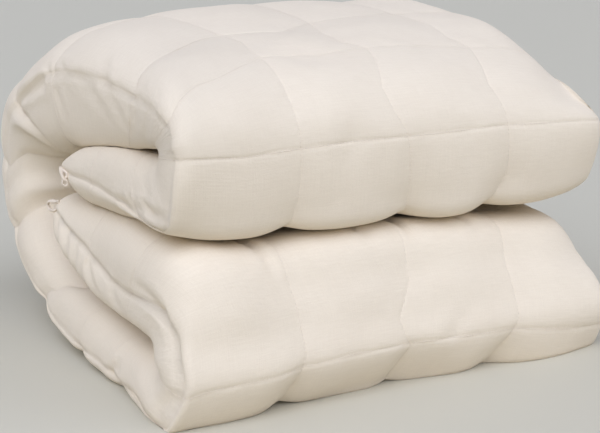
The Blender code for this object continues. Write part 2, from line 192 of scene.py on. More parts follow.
# On the inner face a seam strays on from where it leaves the left edge, and inside the back bend it
# climbs towards the front.  The straying of the other seams stays near the side edges.
INSIDE_PLACES = (0.0, 0.03, 0.1, 0.2, 0.4, 1.0)
INSIDE = {7: (-0.05, -0.38, -0.60, -0.68, -0.70, -0.30), 8: (0.00, -0.20, -0.52, -0.66, -0.80, -0.40),
          9: (-0.20, -0.26, -0.32, -0.40, -0.45, -0.20), 10: (-0.14, -0.02, 0.06, 0.26, 0.20, 0.00)}
NEAR_EDGE = 0.4

# How deep the left edge's own seam is drawn in, at places v along the strip, and what share of that the
# right edge's is drawn in.
EDGE_SEAM = [
    # v      deep
    (0.0, 0.020), (1.0, 0.030), (2.3, 0.030), (2.8, 0.009), (6.0, 0.010), (7.0, 0.020),
    (12.6, 0.020), (13.0, 0.012), (13.4, 0.034), (15.7, 0.040), (16.0, 0.020),
]
RIGHT_SEAM_SHARE = 0.4

# How far in the rounding at the right edge reaches on the outer face, at places v along the strip.
RIGHT_ROUNDING = [
    # v      reach
    (0.0, 0.20), (1.0, 0.30), (2.3, 0.30), (2.8, 0.22), (3.0, 0.24), (3.3, 0.44), (3.6, 0.50),
    (4.0, 0.46), (6.5, 0.46), (8.0, 0.40), (9.0, 0.34), (12.0, 0.20), (12.5, 0.12), (13.0, 0.10),
    (13.4, 0.16), (13.6, 0.30), (14.0, 0.36), (15.0, 0.40), (16.0, 0.22),
]

# Lines of the cloth lie closer together beside a seam, where the cloth dives into it.
BESIDE_SEAM = [0.0, 0.010, 0.022, 0.038, 0.060, 0.090, 0.126, 0.167, 0.211, 0.257, 0.304, 0.352,
               0.401, 0.450]
IN_SQUARE = BESIDE_SEAM + [0.5] + [1 - part for part in BESIDE_SEAM[:0:-1]]
ALONG = np.array([k + part for k in range(SQUARES_ALONG) for part in IN_SQUARE] + [float(SQUARES_ALONG)])
# Across the inner face they lie wider apart.
INSIDE_SQUARE = [0.0, 0.15, 0.35, 0.65, 0.85]

# How many lines the side edges' roundings have, and how many lie from a rounding to the next quilting
# seam, closer together by the rounding.
LEFT_EDGE_LINES, RIGHT_EDGE_LINES, RIGHT_EDGE_INSIDE = 26, 16, 12
BESIDE_LEFT_LINES, BESIDE_RIGHT_LINES = 16, 14
BESIDE_LEFT_INSIDE, BESIDE_RIGHT_INSIDE = 6, 12
CLOSER_BY = 1.5

# The filling: how far it swells a face, how far in from a side edge it slumps, how much of a puff the
# inner face has and how far from a front roll it starts, how the free ends thin out to their hems, how
# far in the side edges' standing out reaches, and how full their rounding is (1 is round, less is fuller).
FILLING = 0.016
SLUMP_REACH = 0.70
INNER_PUFF = 0.35
FLAT_BY_ROLL, FULL_BY_ROLL = 0.6, 1.3
HEM_REACH, HEM_THIN = 0.22, 0.10
STANDS_OUT_REACH = 0.8
EDGE_ROUNDNESS = 0.83


def bump(x, middle, reach):
    """1 at the middle, falling away on both sides of it."""
    return np.exp(-((x - middle) / reach) ** 2)


def valley(x, reach, power=1.5):
    """1 on a seam line, falling away beside it."""
    return np.exp(-(np.abs(x) / reach) ** power)


def smooth(x, low, high):
    """0 below low, 1 above high, and a smooth rise between."""
    x = np.clip((x - low) / (high - low), 0, 1)
    return x * x * (3 - 2 * x)


def strayed(u, outer):
    """Where along the strip each point lies, once the cross seams' straying is added."""
    stray = np.array([np.interp(u, STRAY_PLACES, seam[2]) for seam in CROSSWISE])
    if not outer:
        by_left = smooth(NEAR_EDGE - u, 0, NEAR_EDGE)
        by_right = smooth(NEAR_EDGE - (ACROSS - u), 0, NEAR_EDGE)
        stray = np.array([np.interp(u, INSIDE_PLACES, INSIDE[line]) * smooth(ACROSS - u, NEAR_EDGE, 1)
                          if line in INSIDE else seam[2][0] * by_left + seam[2][-1] * by_right
                          for line, seam in enumerate(CROSSWISE)])
    low = np.minimum(ALONG.astype(int), SQUARES_ALONG - 1)
    row = np.arange(len(ALONG))
    part = (ALONG - low)[:, None]
    return ALONG[:, None] + stray[low, row] * (1 - part) + stray[low + 1, row] * part


rows_at = seam_rows()


def face_points(u, share, outer):
    """Points of one face at u squares across, share of the way out from the edge seams' level."""
    v = strayed(u, outer)
    row = np.interp(v, np.arange(SQUARES_ALONG + 1), rows_at)
    q = dict(zip(COLUMNS, through(FOLD_NUMBERS, row.ravel()).T.reshape(len(COLUMNS), *v.shape)))
    seam_y = q["inner_y"] + (q["outer_y"] - q["inner_y"]) * q["seam"]
    seam_z = q["inner_z"] + (q["outer_z"] - q["inner_z"]) * q["seam"]
    y, z = (q["outer_y"], q["outer_z"]) if outer else (q["inner_y"], q["inner_z"])
    reach = np.hypot(y - seam_y, z - seam_z)
    if outer:
        fill = (q["puff"] + FILLING - q["slump_l"] * np.exp(-u / SLUMP_REACH)
                - q["slump_r"] * np.exp(-(ACROSS - u) / SLUMP_REACH))
    else:
        from_roll = np.minimum(np.abs(v - UPPER_FRONT_SEAM), np.abs(v - LOWER_FRONT_SEAM))
        fill = INNER_PUFF * q["puff"] * smooth(from_roll, FLAT_BY_ROLL, FULL_BY_ROLL)
    from_end = np.clip(np.minimum(v, SQUARES_ALONG - v) / HEM_REACH, 0, 1)
    hem = np.maximum(HEM_THIN, np.sqrt(1 - (1 - from_end) ** 2))
    h = (reach + fill) * share * hem / reach
    stray = sum(np.interp(ALONG, LENGTHWISE[:, 0], LENGTHWISE[:, 3 + line])[:, None]
                * smooth(1 - np.abs(u - line), 0, 1) for line in (1, 2, 3))
    past_left = np.maximum(0, STANDS_OUT_REACH - u)
    past_right = np.maximum(0, u - (ACROSS - STANDS_OUT_REACH))
    x = u + stray + (q["out_r"] * past_right - q["out_l"] * past_left) / STANDS_OUT_REACH
    return np.stack([x, seam_y + (y - seam_y) * h, seam_z + (z - seam_z) * h], -1)


def rounding(outer, at_u):
    """How far the side edges' rounding reaches in, for each line of the cloth."""
    if outer and at_u:
        return np.interp(ALONG, *zip(*RIGHT_ROUNDING))[:, None]
    v = strayed(at_u + 0 * ALONG[:, None], outer)[:, 0]
    row = np.interp(v, np.arange(SQUARES_ALONG + 1), rows_at)
    return through(FOLD_NUMBERS, row)[:, COLUMNS.index("round_out" if outer else "round_in")][:, None]


def edge_points(left, outer, count):
    """Points of the rounding from a side edge's seam to a face."""
    angle = np.linspace(0, np.pi / 2, count + 1)[None, 1:]
    inward, share = 1 - np.cos(angle) ** EDGE_ROUNDNESS, np.sin(angle) ** EDGE_ROUNDNESS
    u = inward * rounding(outer, 0.0 if left else ACROSS)
    u = u if left else ACROSS - u
    return face_points(u, share, outer), u


def flat_points(outer, beside_left, beside_right, between):
    """Points of one face between the roundings of its two side edges."""
    leftwards = np.linspace(1, 0, beside_left + 1)[None, 1:] ** CLOSER_BY
    rightwards = np.linspace(0, 1, beside_right + 1)[None, :-1] ** CLOSER_BY
    first = 1 - (1 - rounding(outer, 0.0)) * leftwards
    last = ACROSS - 1 + (1 - rounding(outer, ACROSS)) * rightwards
    middle = np.array([k + part for k in (1, 2) for part in between])[None, 1:] + 0 * first[:, :1]
    u = np.concatenate([first, middle, last], 1)
    return face_points(u, 1.0, outer), u


def turned_round(points_and_u):
    """The same stretch of cloth, read from right to left."""
    return tuple(values[:, ::-1] for values in points_and_u)


# The ring of lines round the strip: the left edge's seam, the outer face to the right edge's seam, and
# the inner face back.
left_u, right_u = 0 * ALONG[:, None], ACROSS + 0 * ALONG[:, None]
stretches = [(face_points(left_u, 0.0, True), left_u)]
stretches += [edge_points(True, True, LEFT_EDGE_LINES)]
stretches += [flat_points(True, BESIDE_LEFT_LINES, BESIDE_RIGHT_LINES, IN_SQUARE)]
stretches += [turned_round(edge_points(False, True, RIGHT_EDGE_LINES))]
stretches += [(face_points(right_u, 0.0, True), right_u)]
outer_columns = sum(u.shape[1] for points, u in stretches)
stretches += [edge_points(False, False, RIGHT_EDGE_INSIDE)]
stretches += [turned_round(flat_points(False, BESIDE_RIGHT_INSIDE, BESIDE_LEFT_INSIDE, INSIDE_SQUARE))]
stretches += [turned_round(edge_points(True, False, LEFT_EDGE_LINES))]
ring = np.concatenate([points for points, u in stretches], 1)
across = np.concatenate([u for points, u in stretches], 1)
rows, columns = ring.shape[:2]
on_outer = np.arange(columns)[None, :] < outer_columns
v_line = ALONG[:, None] + 0 * across

# from_edge is each point's way round from the left edge's seam, along the outer face and, below 0,
# along the inner one.  from_right is the same from the right edge's seam, below 0 on the outer face.
between_lines = np.linalg.norm(np.diff(np.concatenate([ring, ring[:, :1]], 1), axis=1), axis=-1)
way = np.concatenate([0 * left_u, np.cumsum(between_lines, 1)], 1)
from_edge = np.where(on_outer, way[:, :-1], way[:, :-1] - way[:, -1:])
from_right = way[:, :-1] - way[:, outer_columns - 1:outer_columns]


# Where the cloth swells or sinks, beyond its even filling, at places v along the strip and w round from
# the left edge's seam (below 0 on the inner face).
MOVES = [
    # v      w      reach_v reach_w  out
    # the upper slab's underside sags onto the folded-in end below it
    (5.60,  -0.75,  0.70,  0.35,  0.10),
    (4.60,  -0.55,  0.60,  0.30,  0.04),
    (1.20,  -0.35,  0.90,  0.25,  0.05),
    # the folded-in end hangs down at its edge
    (0.60,   0.24,  0.40,  0.16,  0.07),
    (1.25,   0.26,  0.40,  0.16,  0.05),
    (6.55,  -0.75,  0.35,  0.40,  0.10),
    # the roll's low edge is full
    (2.42,   2.00,  0.14,  3.00,  0.02),
    # the inside of the back bend bulges between its cross seams
    (7.15,  -0.28,  0.22,  0.22,  0.05),
    (7.05,  -0.75,  0.35,  0.40,  0.16),
    (7.70,  -0.80,  0.35,  0.40,  0.10),
    (8.72,  -0.38,  0.26,  0.35,  0.07),
    (8.60,  -1.00,  0.45,  0.50,  0.12),
    (9.35,  -0.33,  0.28,  0.25,  0.07),
    (11.00, -0.40,  0.50,  0.30,  0.03),
    # the lower folded-in end swells up round the one that lies on it
    (14.25,  0.45,  0.60,  0.28,  0.13),
    (15.00,  0.42,  0.55,  0.24,  0.11),
    (13.62,  0.60,  0.22,  0.35,  0.05),
    # and all along the upper slab that lies on it
    (14.02,  2.10,  0.22,  1.60,  0.055),
    (13.78,  2.00,  0.16,  1.80,  0.100),
    # it is full below its edge seam
    (15.70, -0.17,  0.30,  0.12,  0.06),
    (15.20, -0.22,  0.50,  0.16,  0.08),
    (14.60, -0.25,  0.50,  0.18,  0.06),
    (14.10, -0.25,  0.40,  0.15,  0.02),
    (13.80, -0.27,  0.25,  0.18,  0.02),
    # and lies close on the floor layer behind the lower roll
    (13.42, -0.34,  0.26,  0.22,  0.06),
    (13.18, -0.24,  0.22,  0.20,  0.06),
    (12.55, -0.34,  0.30,  0.30,  0.06),
    # the lowest squares at the front press out on the right, less in the middle
    (12.55,  3.65,  0.35,  0.55,  0.12),
    (13.10,  3.65,  0.40,  0.55,  0.03),
    (13.10,  0.75,  0.40,  0.40,  0.04),
    (12.60,  1.60,  0.35,  0.40, -0.07),
    (12.60,  2.30,  0.35,  0.25, -0.05),
]

# Creases and pleats, each a line of places (v, w): how deep and how wide it is, and how far the cloth
# beside it stands up.
CREASES = [
    # deep   wide   lip    places
    # pleats under the upper slab's edge seam
    (0.010, 0.052, 0.004, [(5.64, -0.02), (5.46, -0.12), (5.26, -0.30)]),
    (0.011, 0.048, 0.004, [(5.36, -0.02), (5.18, -0.13), (5.00, -0.30)]),
    (0.005, 0.046, 0.002, [(5.18, -0.01), (4.98, -0.10), (4.80, -0.26)]),
    (0.014, 0.040, 0.004, [(5.94, -0.18), (5.90, -0.30), (5.87, -0.42)]),
    # short creases over the upper slab's edge seam
    (0.012, 0.032, 0.004, [(6.10, 0.00), (6.13, 0.07), (6.17, 0.15)]),
    (0.012, 0.032, 0.004, [(5.83, 0.00), (5.88, 0.07), (5.94, 0.15)]),
    (0.026, 0.036, 0.008, [(5.34, -0.01), (5.38, 0.13), (5.46, 0.34)]),
    # the pinched hollow where the upper slab turns into the back bend
    (0.035, 0.045, 0.012, [(6.20, -0.07), (6.44, -0.05), (6.70, -0.02), (6.97, 0.02)]),
    # a small fold at the edge of the floor layer
    (0.022, 0.040, 0.006, [(11.91, 0.00), (12.08, -0.11), (12.12, -0.18)]),
    # creases at the left end of the upper roll
    (0.024, 0.036, 0.006, [(1.65, -0.02), (1.95, -0.06), (2.28, -0.17)]),
    (0.016, 0.034, 0.004, [(1.95, -0.12), (1.98, 0.02)]),
    (0.026, 0.040, 0.008, [(2.20, -0.17), (2.42, -0.12), (2.56, -0.02)]),
    # creases of the lower folded-in end
    (0.008, 0.036, 0.002, [(15.25, 0.29), (15.13, 0.35), (15.05, 0.40)]),
    (0.030, 0.045, 0.008, [(13.66, 0.02), (13.80, 0.07), (13.98, 0.12)]),
    (0.022, 0.026, 0.007, [(13.66, 0.04), (13.58, -0.03), (13.42, -0.06), (13.14, -0.07)]),
    (0.024, 0.034, 0.010, [(15.78, -0.04), (15.66, -0.10), (15.56, -0.24)]),
    (0.022, 0.034, 0.009, [(15.50, -0.03), (15.38, -0.10), (15.36, -0.22)]),
    (0.020, 0.034, 0.008, [(15.22, -0.06), (15.18, -0.14), (15.20, -0.26)]),
    (0.018, 0.036, 0.008, [(14.95, -0.06), (14.80, -0.16), (14.62, -0.20)]),
    (0.012, 0.040, 0.005, [(14.42, -0.04), (14.30, -0.14), (14.10, -0.20)]),
    # the corner under the lower front seam
    (0.028, 0.050, 0.006, [(12.96, -0.07), (12.83, -0.13), (12.46, 0.02)]),
    (0.020, 0.045, 0.006, [(12.29, 0.00), (12.40, -0.06), (12.48, -0.12)]),
    # short folds where the upper slab presses on the lower one
    (0.034, 0.042, 0.010, [(13.98, 0.92), (13.83, 0.96), (13.74, 0.98), (13.66, 0.96)]),
    (0.028, 0.042, 0.009, [(13.95, 1.78), (13.81, 1.88), (13.75, 1.99)]),
    (0.030, 0.038, 0.008, [(13.95, 2.30), (13.82, 2.31), (13.73, 2.32)]),
    (0.028, 0.038, 0.008, [(13.95, 2.85), (13.81, 2.93), (13.71, 3.01)]),
    # soft folds on the fronts and on the top
    (0.009, 0.090, 0.003, [(3.00, 1.47), (2.87, 1.39), (2.74, 1.36), (2.57, 1.35)]),
    (0.013, 0.065, 0.004, [(13.04, 2.43), (13.12, 2.50), (13.21, 2.61)]),
    (0.008, 0.060, 0.002, [(3.00, 2.58), (2.87, 2.61), (2.75, 2.63)]),
    (0.009, 0.070, 0.003, [(4.01, 1.51), (3.90, 1.51), (3.96, 1.84)]),
]


def outward(points):
    """The unit normals of a grid that closes on itself across the strip."""
    normal = np.cross(np.roll(points, -1, 1) - np.roll(points, 1, 1), np.gradient(points, axis=0))
    return normal / np.linalg.norm(normal, axis=-1, keepdims=True)


def rumple(a, b, seed, repeat=97):
    """Smooth seeded unevenness, from -1 to 1, with one rise or fall for each unit of a and b."""
    heights = np.random.default_rng(seed).uniform(-1, 1, (repeat, repeat))
    low_a, low_b = np.floor(a).astype(int), np.floor(b).astype(int)
    part_a, part_b = smooth(a - low_a, 0, 1), smooth(b - low_b, 0, 1)
    at = [[heights[(low_a + i) % repeat, (low_b + j) % repeat] for j in (0, 1)] for i in (0, 1)]
    return ((at[0][0] * (1 - part_b) + at[0][1] * part_b) * (1 - part_a)
            + (at[1][0] * (1 - part_b) + at[1][1] * part_b) * part_a)


def gathers(a, b, seed, beside, reach):
    """Seeded unevenness of the cloth beside a seam, none on the seam's own line."""
    return rumple(a, b, seed) * valley(beside, reach) * (beside != 0)


# How long one square along the strip is at each point: short inside the bends, where the cloth bunches.
square_run = np.linalg.norm(np.gradient(ring, axis=0), axis=-1) / np.gradient(ALONG)[:, None]


def from_line(line):
    """How far each point lies from a line of places (v, w), and how far along it, from 0 to 1."""
    nearest, along_line = np.full(ring.shape[:2], np.inf), np.zeros(ring.shape[:2])
    for k, ((v0, w0), (v1, w1)) in enumerate(zip(line, line[1:])):
        dv, dw = (v1 - v0) * square_run, w1 - w0
        to_v, to_w = (v_line - v0) * square_run, from_edge - w0
        share = np.clip((to_v * dv + to_w * dw) / (dv * dv + dw * dw), 0, 1)
        away = np.hypot(to_v - share * dv, to_w - share * dw)
        along_line = np.where(away < nearest, (k + share) / (len(line) - 1), along_line)
        nearest = np.minimum(nearest, away)
    return nearest, along_line


# How far the cloth stands out from the fold's even faces, in squares.  Each square is a low pillow, each
# face drifts up and down a little, and a seam is a valley with a dent where its stitches pull.  The
# inner face is flatter.  Cross seams near the free ends fade out towards the left edge.
PILLOW, INNER_SHARE = 0.020, 0.25
DRIFT = [
    # high   across  along  start
    (0.010,   1.9,    0.8,   0.0),
    (0.008,   0.7,   -1.7,   1.1),
]
LENGTHWISE_REACH, CROSSWISE_REACH = 0.15, 0.13
EDGE_SEAM_REACH, EDGE_SEAM_POWER = 0.024, 1.4
DENT_REACH = 0.018
LENGTHWISE_DENT, CROSSWISE_DENT, FRONT_DENT = 0.003, 0.0032, 0.0045
DENTED_FROM_TO = (0.005, 0.03)            # the inner face has its dents only where a seam is deep
FADING_SEAMS, FADE_FROM, FADE_TO = (1, 2, 14, 15), 0.15, 0.7

# Seeded unevenness, how high and with how many rises to the square: beside each kind of seam, and over
# each whole face.
LENGTHWISE_UNEVEN, CROSSWISE_UNEVEN, BESIDE_REACH, SEAM_RISES = 0.003, 0.005, 0.16, 6
EDGE_UNEVEN, BESIDE_EDGE_REACH, EDGE_RISES_ALONG, EDGE_RISES_ROUND = 0.007, 0.15, 7, 2
FACE_UNEVEN = [
    # high   along  across  seed
    (0.007,   1.7,    1.5,   13),
    (0.003,   4.3,    3.7,   14),
]
OTHER_FACE = 40                           # how far off in the same unevenness the inner face takes its own

# A crease's lip: how many of its widths away it stands, how many wide it is, and how much of the crease
# is gone at its last place.
LIP_AWAY, LIP_REACH, CREASE_FADE = 2.2, 0.9, 0.85

room = np.where(on_outer, 1.0, INNER_SHARE)
height = PILLOW * np.sin(np.pi * across) ** 2 * np.sin(np.pi * v_line) ** 2
for high, turn_across, turn_along, start in DRIFT:
    height = height + high * np.sin(turn_across * across + turn_along * v_line + start)
for line in (1, 2, 3):
    beside = across - line
    depth = np.interp(ALONG, LENGTHWISE[:, 0], LENGTHWISE[:, line])[:, None]
    gathered = gathers(SEAM_RISES * v_line, 0 * beside + line, 11, beside, BESIDE_REACH)
    height = height - depth * valley(beside, LENGTHWISE_REACH)
    height = height - LENGTHWISE_DENT * valley(beside, DENT_REACH, 2)
    height = height + LENGTHWISE_UNEVEN * gathered
height = height * room
for line, (deep, inner_deep, stray) in enumerate(CROSSWISE):
    beside = v_line - line
    from_left = smooth(across, FADE_FROM, FADE_TO)
    deep = deep * (from_left if line in FADING_SEAMS else 1)
    inner_deep = inner_deep * (1 if line in INSIDE else from_left)
    gathered = gathers(SEAM_RISES * across, 0 * beside + line, 12, beside, BESIDE_REACH)
    dent = FRONT_DENT if line in (UPPER_FRONT_SEAM, LOWER_FRONT_SEAM) else CROSSWISE_DENT
    stitched = valley(beside, DENT_REACH, 2) * np.where(on_outer, 1, smooth(inner_deep, *DENTED_FROM_TO))
    height = height - np.where(on_outer, deep, inner_deep) * valley(beside, CROSSWISE_REACH)
    height = height + CROSSWISE_UNEVEN * gathered * room - dent * stitched
for high, rises_along, rises_across, seed in FACE_UNEVEN:
    face_across = rises_across * across + OTHER_FACE * ~on_outer
    height = height + high * rumple(rises_along * v_line, face_across, seed)
for from_side, share, seed in ((from_edge, 1.0, 15), (from_right, RIGHT_SEAM_SHARE, 16)):
    depth = np.interp(ALONG, *zip(*EDGE_SEAM))[:, None] * share
    gathered = gathers(EDGE_RISES_ALONG * v_line, EDGE_RISES_ROUND * from_side, seed, from_side,
                       BESIDE_EDGE_REACH)
    height = height - depth * valley(from_side, EDGE_SEAM_REACH, EDGE_SEAM_POWER)
    height = height + EDGE_UNEVEN * gathered
for v, w, reach_v, reach_w, out in MOVES:
    height = height + out * bump(v_line, v, reach_v) * bump(from_edge, w, reach_w)
for deep, wide, lip, line in CREASES:
    beside, along_line = from_line(line)
    fold = deep * bump(beside, 0, wide) - lip * bump(beside, LIP_AWAY * wide, LIP_REACH * wide)
    height = height - fold * (1 - CREASE_FADE * along_line ** 3)

cloth_points = ring + outward(ring) * height[..., None]
cloth_points[..., 2] = np.maximum(cloth_points[..., 2], 0)

# Layers that lie on each other, the one above first, each as from v, to v and whether it shows its outer
# face there.  Where they press on each other both give way, half each and a hair more (in squares),
# PRESSES times over.
PRESSED = [
    ((0.00, 2.70, True), (13.45, 16.00, True)),
    ((3.30, 6.90, False), (0.00, 2.70, False)),
    ((13.30, 16.00, False), (9.60, 12.70, False)),
]
HAIR = 0.003
DEEPEST_PRESS = 0.25
PRESSES = 3


def pressed_face(low, high, outer_face):
    """Which points of the cloth one face of a layer has, and a tree of its squares."""
    at = np.ix_(np.flatnonzero((ALONG >= low) & (ALONG <= high)),
                np.arange(outer_columns) if outer_face else np.arange(outer_columns, columns))
    points = cloth_points[at]
    number = np.arange(points[..., 0].size).reshape(points.shape[:2])
    squares = np.stack([number[:-1, :-1], number[:-1, 1:], number[1:, 1:], number[1:, :-1]], -1)
    return at, BVHTree.FromPolygons(points.reshape(-1, 3).tolist(), squares.reshape(-1, 4).tolist())


def give_way(at, other, up):
    """Moves the points of a face that have gone through another face, up or down out of it."""
    points = cloth_points[at].reshape(-1, 3)
    straight_up_or_down = Vector((0, 0, up))
    through_by = [other.ray_cast(Vector(point), straight_up_or_down, DEEPEST_PRESS)[3]
                  for point in points.tolist()]
    points[:, 2] += [0 if deep is None else up * (deep / 2 + HAIR) for deep in through_by]
    return points.reshape(cloth_points[at].shape)


for above, below in PRESSED * PRESSES:
    (above_at, above_tree), (below_at, below_tree) = pressed_face(*above), pressed_face(*below)
    raised, lowered = give_way(above_at, below_tree, 1), give_way(below_at, above_tree, -1)
    cloth_points[above_at], cloth_points[below_at] = raised, lowered

places = (cloth_points - np.array([MIDDLE_X, MIDDLE_Y, 0])) * SQUARE + np.array([*CENTRED, 0])

index = np.arange(rows * columns).reshape(rows, columns)
wrap = np.roll(index, -1, axis=1)
faces = np.stack([index[:-1], wrap[:-1], wrap[1:], index[1:]], -1).reshape(-1, 4).tolist()
hems = ((0, 1), (rows - 1, -1))
faces += [index[end].tolist()[::-turn] for end, turn in hems]

mesh = bpy.data.meshes.new("blanket_cloth")
mesh.from_pydata(places.reshape(-1, 3).tolist(), [], faces)
mesh.polygons.foreach_set("use_smooth", [True] * len(mesh.polygons))

# The weave follows the cloth: its map is in metres, round from the left edge's seam and along the strip,
# and it breaks at the right edge's seam, where the two faces of cloth meet.
round_m, along_m = from_edge * SQUARE, v_line * SQUARE
next_round = np.roll(round_m, -1, 1)
next_round[:, outer_columns - 1] = way[:, outer_columns] * SQUARE
map_here, map_next = np.stack([round_m, along_m], -1), np.stack([next_round, along_m], -1)
corners = np.stack([map_here[:-1], map_next[:-1], map_next[1:], map_here[1:]], 2)
ends = [map_here[end][::-turn] for end, turn in hems]
weave_map = mesh.uv_layers.new(name="weave")
weave_map.data.foreach_set("uv", np.concatenate([corners.reshape(-1, 2), *ends]).ravel())

# How near each point is to the quilting and the edge seams, for the cloth's puckers (in squares).
PUCKERS_BY_QUILTING, PUCKERS_BY_EDGE = 0.05, 0.04
to_line = np.minimum(np.abs(v_line - np.round(v_line)), np.abs(across - np.round(across)))
to_edge = np.minimum(np.abs(from_edge), np.abs(from_right))
near_seam = np.maximum(valley(to_line, PUCKERS_BY_QUILTING, 1), valley(to_edge, PUCKERS_BY_EDGE, 1))
mesh.attributes.new("near_seam", "FLOAT", "POINT").data.foreach_set("value", near_seam.ravel())


def put_in(name, data):
    """An object of a mesh, a lamp or a camera, put in the scene."""
    new_object = bpy.data.objects.new(name, data)
    bpy.context.scene.collection.objects.link(new_object)
    return new_object


blanket = put_in("blanket_cloth", mesh)


class Nodes:
    """A material's or a tree's nodes, made and joined in one call each."""

    def __init__(self, tree):
        self.tree = tree

    def add(self, kind, inputs=(), output=0, **settings):
        """Adds a node with some settings and inputs, and gives back its named or numbered output."""
        node = self.tree.nodes.new(kind)
        for setting, value in settings.items():
            setattr(node, setting, value)
        self.give(node, inputs)
        return node.outputs[output]

    def give(self, node, inputs):
        """Inputs has a value or another node's output for each socket's name or number."""
        for socket, value in dict(inputs).items():
            if isinstance(value, bpy.types.NodeSocket):
                self.tree.links.new(value, node.inputs[socket])
            else:
                node.inputs[socket].default_value = value


def new_material(name):
    """A material, its nodes, and the one of them that is its surface."""
    material = bpy.data.materials.new(name)
    material.use_nodes = True
    return material, Nodes(material.node_tree), material.node_tree.nodes["Principled BSDF"]


WAVES_SCALE = 0.314                       # a wave texture of this scale has its bands a metre apart


def woven_cloth(name, pale, deep, thread, puckers):
    """Matte slubby cotton and linen: thick and thin threads both ways, thread metres apart, each a little
    lighter or darker, so the cloth is streaked, with puckers beside its seams."""
    material, make, skin = new_material(name)
    flat = make.add("ShaderNodeUVMap", uv_map="weave")

    def streaks(along_strip, round_strip, detail):
        """Noise drawn out one way, with so many changes to the metre along the strip and round it."""
        stretched = make.add("ShaderNodeMapping", {"Vector": flat, "Scale": (round_strip, along_strip, 1)})
        return make.add("ShaderNodeTexNoise", {
            "Vector": stretched, "Scale": 1.0, "Detail": detail, "Roughness": 0.6})

    def blotches(scale, detail):
        """Noise the same both ways, with so many changes to the metre."""
        return make.add("ShaderNodeTexNoise", {"Vector": flat, "Scale": scale, "Detail": detail})

    def wave(direction):
        """One thread's rise and fall after another, thread metres apart."""
        return make.add("ShaderNodeTexWave", {
            "Vector": flat, "Scale": WAVES_SCALE / thread, "Distortion": 1.2, "Detail": 1.0,
            "Detail Scale": 1.5}, "Fac", bands_direction=direction)

    def add_up(parts):
        """The sum of (output, share) pairs, each taken about its middle value."""
        total = 0.0
        for value, share in parts:
            level = make.add("ShaderNodeMath", {0: value, 1: -0.5}, operation="ADD")
            total = make.add("ShaderNodeMath", {0: level, 1: share, 2: total}, operation="MULTIPLY_ADD")
        return total

    weft = streaks(760, 42, 3)
    warp = streaks(38, 700, 3)
    slubs = streaks(420, 70, 1)
    mottle = blotches(17.0, 3.0)
    grain = blotches(900.0, 2.0)
    tone = add_up([(weft, 0.50), (warp, 0.35), (slubs, 0.22), (mottle, 0.30), (grain, 0.45)])
    paleness = make.add("ShaderNodeMapRange", {"Value": tone, "From Min": -0.42, "From Max": 0.42})
    paint = make.add("ShaderNodeMix", {
        "Factor": paleness, "A": (*deep, 1), "B": (*pale, 1)}, "Result", data_type="RGBA")
    rough = make.add("ShaderNodeMapRange", {
        "Value": tone, "From Min": -0.4, "From Max": 0.4, "To Min": 0.98, "To Max": 0.84})

    # the plain weave itself: one thread over, one under
    over = make.add("ShaderNodeMath", {0: wave("X"), 1: wave("Y")}, operation="MULTIPLY")
    fine = add_up([(over, 0.5), (weft, 0.8), (warp, 0.6), (grain, 0.6)])
    weave = make.add("ShaderNodeBump", {"Strength": 0.55, "Distance": 0.0005, "Height": fine})

    # small soft folds all over, and puckers beside the seams
    pucker = add_up([(blotches(130.0, 2.0), puckers)])
    by_seam = make.add("ShaderNodeAttribute", (), "Fac", attribute_name="near_seam")
    puckered = make.add("ShaderNodeMath", {0: pucker, 1: by_seam}, operation="MULTIPLY")
    crumpled = make.add("ShaderNodeMath", {
        0: blotches(38.0, 3.0), 1: 0.30, 2: puckered}, operation="MULTIPLY_ADD")
    folds = make.add("ShaderNodeBump", {
        "Strength": 0.5, "Distance": 0.003, "Height": crumpled, "Normal": weave})
    make.give(skin, {
        "Base Color": paint, "Roughness": rough, "Normal": folds, "Specular IOR Level": 0.25,
        "Sheen Weight": 0.25, "Sheen Roughness": 0.6, "Sheen Tint": (1.0, 0.93, 0.84, 1)})
    return material


mesh.materials.append(woven_cloth("slubby_cotton_linen", pale=(0.890, 0.785, 0.610),
                                  deep=(0.778, 0.665, 0.499), thread=0.0009, puckers=0.5))

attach(blanket, "root")
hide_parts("blanket")

# ---------------------------------------------------------------- the quilting stitches
# The real seams are a lockstitch in thick cotton thread of the cloth's own colour, through both faces of
# cloth.  Each seam is laid as a line on the cloth, and one stitch is set again and again along it.
normals = outward(cloth_points)
each_face = (np.arange(outer_columns), np.r_[outer_columns - 1:columns, 0])
lines = [(line * len(IN_SQUARE), face) for line in range(1, SQUARES_ALONG) for face in each_face]
lines += [(slice(None), int(column)) for column in np.flatnonzero(np.isin(across[0], (1.0, 2.0, 3.0)))]
CLEAR_OF_FLOOR = 0.0007
above_floor = places.copy()
above_floor[..., 2] = np.maximum(places[..., 2], CLEAR_OF_FLOOR)
line_points = [above_floor[line] for line in lines]
starts = np.cumsum([0] + [len(points) for points in line_points])
seam_mesh = bpy.data.meshes.new("quilting_stitches")
seam_mesh.from_pydata(np.concatenate(line_points).tolist(),
                      [(k, k + 1) for a, b in zip(starts, starts[1:]) for k in range(a, b - 1)], [])
seam_mesh.attributes.new("outward", "FLOAT_VECTOR", "POINT").data.foreach_set(
    "vector", np.concatenate([normals[line] for line in lines]).ravel())
stitches = put_in("quilting_stitches", seam_mesh)

